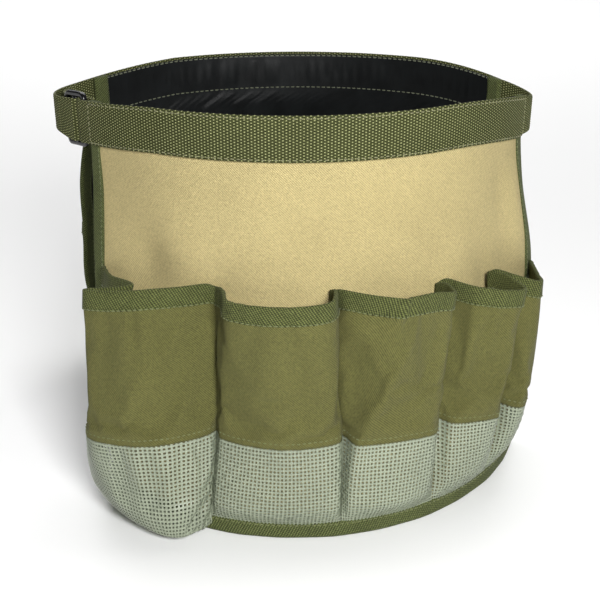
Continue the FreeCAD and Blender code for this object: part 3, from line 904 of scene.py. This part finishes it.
def drape(grid, held, under):
    """Lets a grid of cloth settle under its own weight against a wall, held by its weights."""
    cloth_obj = add_mesh("settling", grid, quads(*grid.shape[:2]), None)
    group = cloth_obj.vertex_groups.new(name="held")
    for vertex, weight in enumerate(held.ravel()):
        if weight > 0:
            group.add([vertex], float(weight), "REPLACE")
    cloth = cloth_obj.modifiers.new("Cloth", "CLOTH")
    for key, value in CLOTH_SETTINGS.items():
        setattr(cloth.settings, key, value)
    cloth.settings.effector_weights.gravity = GRAVITY_SHARE
    cloth.collision_settings.use_collision = True
    cloth.collision_settings.distance_min = CLOTH_GAP * MM
    cloth.collision_settings.use_self_collision = False
    collider = add_mesh("settling_wall", under, quads(*under.shape[:2]), None)
    wall = collider.modifiers.new("Collision", "COLLISION")
    wall.settings.thickness_outer = WALL_GAP * MM
    wall.settings.cloth_friction = WALL_FRICTION
    scene = bpy.context.scene
    scene.frame_start, scene.frame_end = 1, DRAPE_FRAMES
    cloth.point_cache.frame_start, cloth.point_cache.frame_end = 1, DRAPE_FRAMES
    for number in range(1, DRAPE_FRAMES + 1):
        scene.frame_set(number)
    shown = cloth_obj.evaluated_get(bpy.context.evaluated_depsgraph_get())
    settled = np.array([v.co[:] for v in shown.data.vertices]).reshape(grid.shape)
    for obj in (cloth_obj, collider):
        bpy.data.objects.remove(obj, do_unlink=True)
    scene.frame_set(1)
    move = settled - grid
    size = np.linalg.norm(move, axis=-1, keepdims=True)
    most = DRAPE_MOST * MM
    return grid + move * (most * np.tanh(size / most) / np.maximum(size, 1e-9))


NET_PITCH_ALONG, NET_PITCH_UP = 2.1, 2.15
YARN_ALONG, YARN_UP, YARN_THICK = 0.98, 1.0192, 0.55
NET_INSET, NET_CROWN = 0.35, 0.12


def net_marks(length, pitch, yarn_width):
    """Places along one side of the net: both edges and the middle of every yarn."""
    cells = round(length / pitch)
    half = yarn_width / pitch / 2
    inner = np.arange(cells)[:, None] + np.array([0, half, 1 - half])[None, :]
    return np.append(inner.ravel(), cells) / cells * length


def net(name, grid, material):
    """An open mesh of coated yarns over a grid: a plate with one hole for each cell."""
    u, v = lengths_of(grid)
    at_u = net_marks(u[-1], NET_PITCH_ALONG, YARN_ALONG)
    at_v = net_marks(v[-1], NET_PITCH_UP, YARN_UP)
    points = surface_at(grid, u, v, at_u, at_v)
    n = normals_of(points)
    points -= n * NET_INSET * MM
    rows, cols = points.shape[:2]
    count = rows * cols
    crown_u = np.where(np.arange(cols) % 3 == 0, NET_CROWN, 0.0)
    crown_v = np.where(np.arange(rows) % 3 == 0, NET_CROWN, 0.0)
    lift = (YARN_THICK / 2 + crown_u[None, :] + crown_v[:, None])[..., None] * MM
    r, c = np.meshgrid(np.arange(rows - 1), np.arange(cols - 1), indexing="ij")
    hole = (r % 3 == 1) & (c % 3 == 1)
    solid = ~hole.ravel()
    faces = np.array(quads(rows, cols))[solid].tolist()
    faces += np.array(quads(rows, cols, count, flip=True))[solid].tolist()
    h = (r * cols + c)[hole]
    for p, q in ((h + 1, h), (h + 1 + cols, h + 1), (h + cols, h + 1 + cols), (h, h + cols)):
        faces += np.stack([p, q, q + count, p + count], axis=-1).tolist()
    faces += rim_quads(rows, cols)
    obj = add_mesh(name, np.stack([points + n * lift, points - n * lift]), faces, material)
    return obj, (u[-1] * MM, v[-1] * MM)


FACE_STEP, FACE_HALF, HEM_WRAP = 1.6, 0.45, 0.75
HEM_SURFACE = 1.15
SEAM_OF_MESH = 2


def pocket_stitches(name, body, face_grid, hem_grid):
    """The hem's row of stitches on both its sides, and the row where the net is sewn on."""
    thread = Thread()
    n = normals_of(hem_grid)[0]
    line = hem_grid[0] * 0.75 + hem_grid[1] * 0.25
    thread.run(line + n * HEM_SURFACE * MM, n, pitch=3.0, length=2.1)
    thread.run(line - n * HEM_SURFACE * MM, -n, pitch=3.0, length=2.1)
    n = normals_of(face_grid)[SEAM_OF_MESH]
    thread.run(face_grid[SEAM_OF_MESH] + n * FACE_HALF * MM, n, pitch=3.0, length=2.0, radius=0.3)
    return thread.made(f"{name}_stitches", THREAD, body)


def pocket(side, number, part):
    """One pocket of a side: its face, its net, the tape over its hem and the stitches."""
    name, body = f"{side}_pocket_{number}", f"{side}_half"
    top = len(part) - 1
    face_grid = refined(part[MESH_ROW - 1 : top], FACE_STEP)
    hem_grid = refined(part[top - HEM_ROWS :], FACE_STEP, rows=6)
    face, cut = shell(f"{name}_face_cloth", face_grid, FACE_HALF, -FACE_HALF, OLIVE)
    hem = tape(f"{name}_hem_tape", hem_grid, FACE_HALF, HEM_WRAP, HEM)
    mesh, mesh_cut = net(f"{name}_mesh_net", part[: MESH_ROW + 1], NET)
    sewn = pocket_stitches(name, body, face_grid, hem_grid)
    place_piece(face, body, f"{name}_face")
    place_piece(hem, body, f"{name}_hem")
    place_piece(mesh, body, f"{name}_mesh")


def pocket_row(side):
    """All the pockets of a side, settled together as one strip of cloth."""
    flat, starts = pocket_strip()
    grid = panel_point(side, flat[..., 0], flat[..., 2], flat[..., 1])
    s, z = np.meshgrid(np.linspace(0, PANEL_WIDTH, 90), np.linspace(0, 150, 45))
    grid = drape(grid, hold_weights(*grid.shape[:2], starts), panel_point(side, s, z, 0.0))
    for number in range(1, len(POCKETS) + 1):
        pocket(side, number, grid[:, starts[number - 1] : starts[number] + 1])


for side in SIDES:
    pocket_row(side)


# ---- webbing
WEB_STEP = DOT_ALONG / 4
WEB_RISE, KNUCKLE_BASE = 0.20, 0.4
WEB_BORDER, WEB_FADE = 0.4, 0.8
WEB_EDGE, WEB_SHOULDER, WEB_ROUND = 0.5, 0.12, 0.8
FINE_ROWS, COARSE_ROWS = 60, 5
NARROW_BY, NARROW_FROM, NARROW_OVER = 0.16, 132, 16


def web_section(inside):
    """The webbing's outline: distance out, height, and which way its knuckles stand, or 0."""
    half, shoulder = WEBBING / 2, WEBBING / 2 * WEB_ROUND
    low, high = BELT_LOW, BELT_HIGH
    outer = np.linspace(low + WEB_EDGE, high - WEB_EDGE, FINE_ROWS)
    inner = np.linspace(high - WEB_EDGE, low + WEB_EDGE, FINE_ROWS if inside else COARSE_ROWS)
    section = [(half, z, 1) for z in outer]
    section += [(shoulder, high - WEB_SHOULDER, 0), (0.0, high, 0), (-shoulder, high - WEB_SHOULDER, 0)]
    section += [(-half, z, -int(inside)) for z in inner]
    section += [(-shoulder, low + WEB_SHOULDER, 0), (0.0, low, 0), (shoulder, low + WEB_SHOULDER, 0)]
    return section


def webbing(name, plan, inside=False):
    """Flat webbing that stands on edge along a line in plan, its knuckles in relief."""
    plan = np.asarray(plan, float)
    gone = lengths_along(plan)
    count = max(3, round(gone[-1] / WEB_STEP) + 1)
    u = np.linspace(0, gone[-1], count)
    line = np.stack([np.interp(u, gone, plan[:, k]) for k in (0, 1)], axis=1)
    way = unit(np.gradient(line, axis=0))
    out = np.stack([way[:, 1], -way[:, 0]], axis=1)
    column = np.cos(math.pi * u / DOT_ALONG)
    rings, uv = [], []
    for offset, z, relief in web_section(inside):
        fade = np.clip((min(z - BELT_LOW, BELT_HIGH - z) - WEB_BORDER) / WEB_FADE, 0, 1)
        knuckle = KNUCKLE_BASE * column**2 + column**3 * math.cos(2 * math.pi * z / DOT_ACROSS)
        rise = relief * WEB_RISE * fade * knuckle
        rings.append(np.column_stack([line + out * (offset + rise)[:, None], np.full(count, z)]))
        uv.append(np.column_stack([u, np.full(count, z)]))
    rings = np.stack(rings, axis=1)
    x, z = rings[..., 0], rings[..., 2]
    narrow = 1 - NARROW_BY * ease((np.abs(x) - NARROW_FROM) / NARROW_OVER)
    z = BELT_HIGH + (z - BELT_HIGH) * narrow
    rings[..., 2] = z - sag_at(x, z)
    rings[..., :2] += SHIFT
    obj = loop_solid(name, rings * MM, WEB, np.stack(uv, axis=1))
    return obj


def belt_plan(side, s):
    """The belt's middle line in plan, without the shift to the frame."""
    return panel_point(side, s, BELT_HIGH, BELT_MIDDLE)[:, :2] / MM - SHIFT


def arc(centre, radius, start, end, count):
    turn = np.radians(np.linspace(start, end, count))
    return np.column_stack([centre[0] + radius * np.cos(turn), centre[1] + radius * np.sin(turn)])


# The buckle's own frame: u runs on from the front panel's left edge and w points outward.
EDGE = belt_plan("front", np.array([0.0]))[0]
EDGE_ANGLE = math.radians(STARTS["front"] - 90)
OUTWARD = np.array([math.cos(EDGE_ANGLE), math.sin(EDGE_ANGLE)])
ONWARD = np.array([OUTWARD[1], -OUTWARD[0]])
BAR_A, BAR_PITCH, BAR = 8.0, 9.75, 3.5
TURN = 2.1 + WEBBING / 2
TURN_POINTS, CORNER_POINTS, LINK_POINTS, RUN_POINTS = 24, 50, 60, 30
STRAP_START, STRAP_RADIUS, STRAP_TURN, TAIL_TURN = 31.0, 26.5, 76.4, 80.0
MIDDLE_LEVEL = (BELT_LOW + BELT_HIGH) / 2


def by_buckle(points):
    points = np.asarray(points, float)
    return EDGE + points[:, :1] * ONWARD + points[:, 1:] * OUTWARD


def make_belts():
    """The two belts; the front one ends in the loop round the buckle's first bar."""
    s = np.linspace(0, PANEL_WIDTH, 400)
    turn = BAR_A + BAR / 4
    loop = [[0.6, 0.5 - 2 * TURN], *arc((turn, -TURN), TURN, -90, 90, TURN_POINTS), [1.0, 0.0]]
    front = webbing("front_belt_webbing", np.concatenate([by_buckle(loop), belt_plan("front", s)]))
    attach(front, "front_half")
    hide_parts("front_belt", "belt_loop")
    back = webbing("back_belt_webbing", belt_plan("back", s))
    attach(back, "back_half")
    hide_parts("back_belt")


def make_link():
    """The short webbing between the two belts at the right."""
    line = arc(LINK_CENTRE, LINK_RADIUS, LINK_FROM, LINK_TO, LINK_POINTS)
    start = belt_plan("front", np.array([PANEL_WIDTH]))[0]
    end = belt_plan("back", np.array([0.0]))[0]
    share = np.linspace(0, 1, LINK_POINTS)[:, None]
    line = line + (start - line[0]) * (1 - share) ** 2 + (end - line[-1]) * share**2
    link = webbing("right_link_webbing", line, inside=True)
    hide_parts("right_link")
    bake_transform(link)


def make_strap():
    """The free webbing from the back belt, round the left corner and up to the buckle."""
    corner = by_buckle(arc((STRAP_START, -STRAP_RADIUS), STRAP_RADIUS, 90, 90 - STRAP_TURN, CORNER_POINTS))
    end = belt_plan("back", np.array([PANEL_WIDTH]))[0]
    run = corner[-1] + (end - corner[-1]) * np.linspace(0, 1, RUN_POINTS)[1:, None]
    line = np.concatenate([corner, run])[::-1]
    strap = webbing("strap_webbing", line, inside=True)
    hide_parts("strap")
    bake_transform(strap)


def make_wrap():
    """The strap's turn round the buckle's second bar."""
    turn = BAR_A + BAR_PITCH - BAR / 4
    line = [
        [STRAP_START, -2 * TURN],
        [turn + 1.0, -2 * TURN],
        *arc((turn, -TURN), TURN, 270, 90, TURN_POINTS),
        [STRAP_START, 0.0],
    ]
    wrap = webbing("strap_wrap_webbing", by_buckle(line)[::-1], inside=True)
    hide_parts("strap_wrap")
    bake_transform(wrap)


def make_tail():
    """The strap's free end, doubled back inside it."""
    line = arc((STRAP_START, -STRAP_RADIUS), STRAP_RADIUS - 2 * TURN, 90, 90 - TAIL_TURN, CORNER_POINTS)
    tail = webbing("strap_tail_webbing", by_buckle(line)[::-1], inside=True)
    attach(tail, "front_half")
    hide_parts("strap_tail")


def belt_stitches(side):
    """Stitches along both edges of a belt and across its two ends."""
    thread = Thread()
    surface = BELT_MIDDLE + WEBBING / 2
    low, high = BELT_LOW + 1.4, BELT_HIGH - 1.5
    along = np.linspace(2, PANEL_WIDTH - 2, 320)
    across = np.linspace(BELT_LOW + 1.5, high, 30)
    # Each row: places along the panel, heights, and its stitches' pitch and length.
    rows = [(along, np.full(320, level), 3.4, 2.5) for level in (high, low)]
    rows += [(np.full(30, place), across, 2.9, 2.2) for place in (2.2, PANEL_WIDTH - 2.2)]
    for s, z, pitch, length in rows:
        line = panel_point(side, s, BELT_HIGH, surface)
        out = panel_point(side, s, BELT_HIGH, surface + 1)
        drop = sag_at(line[:, 0] / MM - SHIFT[0], BELT_HIGH)
        line[:, 2] = out[:, 2] = (z - drop) * MM
        thread.run(line, out - line, pitch=pitch, length=length)
    thread.made(f"{side}_belt_stitches", PALE_THREAD, f"{side}_half")


make_belts()
make_link()
make_strap()
make_wrap()
make_tail()
for side in SIDES:
    belt_stitches(side)


# ---- buckle
BUCKLE_LENGTH, BUCKLE_WIDTH, BUCKLE_THICK, RAIL = 23.0, 32.5, 3.2, 3.1
BUCKLE_CORNER, BAR_THIN = 3.0, 0.94
BAR_SIDES, BAR_POWER = 16, 3.2


def bar_rings(path, half_wide, half_thick, closed=False):
    """Rings (u, w, height) of a bar with softened corners along a path in the buckle's plane."""
    way = np.roll(path, -1, axis=0) - np.roll(path, 1, axis=0) if closed else np.gradient(path, axis=0)
    way = unit(way)
    side = np.stack([way[:, 1], -way[:, 0]], axis=1)
    rings = []
    for k in range(BAR_SIDES):
        turn = 2 * math.pi * k / BAR_SIDES
        a, b = math.cos(turn), math.sin(turn)
        fit = (abs(a) ** BAR_POWER + abs(b) ** BAR_POWER) ** (-1 / BAR_POWER)
        flat = path + side * half_wide * a * fit
        rings.append(np.column_stack([flat[:, 0], np.full(len(path), half_thick * b * fit), flat[:, 1]]))
    return np.stack(rings, axis=1)


def rounded_rectangle(left, right, low, high, radius):
    """Points round a rectangle with round corners, nine at each corner and three on each side."""
    centres = (
        (right - radius, high - radius),
        (left + radius, high - radius),
        (left + radius, low + radius),
        (right - radius, low + radius),
    )
    corners = [arc(centre, radius, 90 * k, 90 * k + 90, 9) for k, centre in enumerate(centres)]
    path = []
    for corner, following in zip(corners, corners[1:] + corners[:1]):
        path += [corner, corner[-1] + (following[0] - corner[-1]) * np.array([[0.25], [0.5], [0.75]])]
    return np.concatenate(path)


def in_buckle(rings):
    """Places in the frame of points given as (u, w, height) from the buckle's middle level."""
    plan = EDGE + rings[..., :1] * ONWARD + (rings[..., 1:2] - TURN) * OUTWARD
    level = rings[..., 2] + MIDDLE_LEVEL - sag_at(plan[..., 0], MIDDLE_LEVEL)
    return np.concatenate([plan + SHIFT, level[..., None]], axis=-1) * MM


def make_buckle():
    """The moulded frame of the buckle with its middle bar."""
    left, half = BAR_A - BAR / 2 + RAIL / 2, BUCKLE_WIDTH / 2 - RAIL / 2
    outline = rounded_rectangle(left, left + BUCKLE_LENGTH - RAIL, -half, half, BUCKLE_CORNER)
    rails = bar_rings(outline, RAIL / 2, BUCKLE_THICK / 2, closed=True)
    middle = np.column_stack([np.full(9, BAR_A + BAR_PITCH), np.linspace(-half, half, 9)])
    bar = bar_rings(middle, BAR / 2, BUCKLE_THICK / 2 * BAR_THIN)
    faces = tube_faces(len(rails), BAR_SIDES, closed=True)
    faces += tube_faces(len(bar), BAR_SIDES, start=len(rails) * BAR_SIDES)
    points = np.concatenate([in_buckle(rails), in_buckle(bar)])
    buckle = add_mesh("slide_buckle", points, faces, PLASTIC)
    place_piece(buckle, "buckle", "buckle")


make_buckle()


# ---- floor, lights and camera
FLOOR_REACH, FLOOR_DROP = 6.0, 0.0004
CAMERA_LENS, CAMERA_SENSOR = 59.72, 36
CAMERA_PLACE = (-14.3, -605.1, 341.6)
CAMERA_TILT, CAMERA_PAN = 66.37, -1.576
WORLD_BRIGHT, WORLD_DIM = (0.09, (1, 1, 1, 1)), (0.16, (0.03, 0.03, 0.03, 1))


def make_floor():
    paint = Finish("floor", Base_Color=(0.96, 0.96, 0.96, 1), Roughness=0.9, Specular_IOR_Level=0.2)
    corners = ((-1, -1), (1, -1), (1, 1), (-1, 1))
    points = [(x * FLOOR_REACH, y * FLOOR_REACH, -FLOOR_DROP) for x, y in corners]
    add_mesh("floor", points, [[0, 1, 2, 3]], paint.material)


def soft_light(name, place, target, size, power):
    data = bpy.data.lights.new(name, "AREA")
    data.shape, data.size, data.size_y = "RECTANGLE", size[0], size[1]
    data.energy = power
    light = add_object(name, data)
    light.location = place
    light.rotation_euler = (Vector(target) - Vector(place)).to_track_quat("-Z", "Y").to_euler()


def make_world():
    """A studio that is bright low down and dim above, so the floor's far end stays white."""
    world = bpy.data.worlds.new("studio")
    world.use_nodes = True
    tree = world.node_tree
    heading = tree.nodes.new("ShaderNodeTexCoord")
    apart = tree.nodes.new("ShaderNodeSeparateXYZ")
    band = tree.nodes.new("ShaderNodeValToRGB")
    tree.links.new(heading.outputs["Generated"], apart.inputs[0])
    tree.links.new(apart.outputs[2], band.inputs[0])
    tree.links.new(band.outputs[0], tree.nodes["Background"].inputs[0])
    for element, (place, colour) in zip(band.color_ramp.elements, (WORLD_BRIGHT, WORLD_DIM)):
        element.position, element.color = place, colour
    tree.nodes["Background"].inputs[1].default_value = 1.0
    bpy.context.scene.world = world
    bpy.context.scene.view_settings.view_transform = "Standard"


def make_camera():
    data = bpy.data.cameras.new("camera")
    data.lens, data.sensor_width = CAMERA_LENS, CAMERA_SENSOR
    data.clip_start, data.clip_end = 0.01, 50
    camera = add_object("camera", data)
    camera.location = np.add(CAMERA_PLACE, (*SHIFT, 0)) * MM
    camera.rotation_euler = Euler((math.radians(CAMERA_TILT), 0, math.radians(CAMERA_PAN)))
    bpy.context.scene.camera = camera


make_floor()
soft_light("key", (0.13, -0.68, 0.47), (0, -0.1, 0.16), (0.20, 0.20), 5.9)
soft_light("top", (0.0, 2.0, 2.6), (0, 1.4, 0.0), (4.0, 3.0), 118)
make_world()
make_camera()
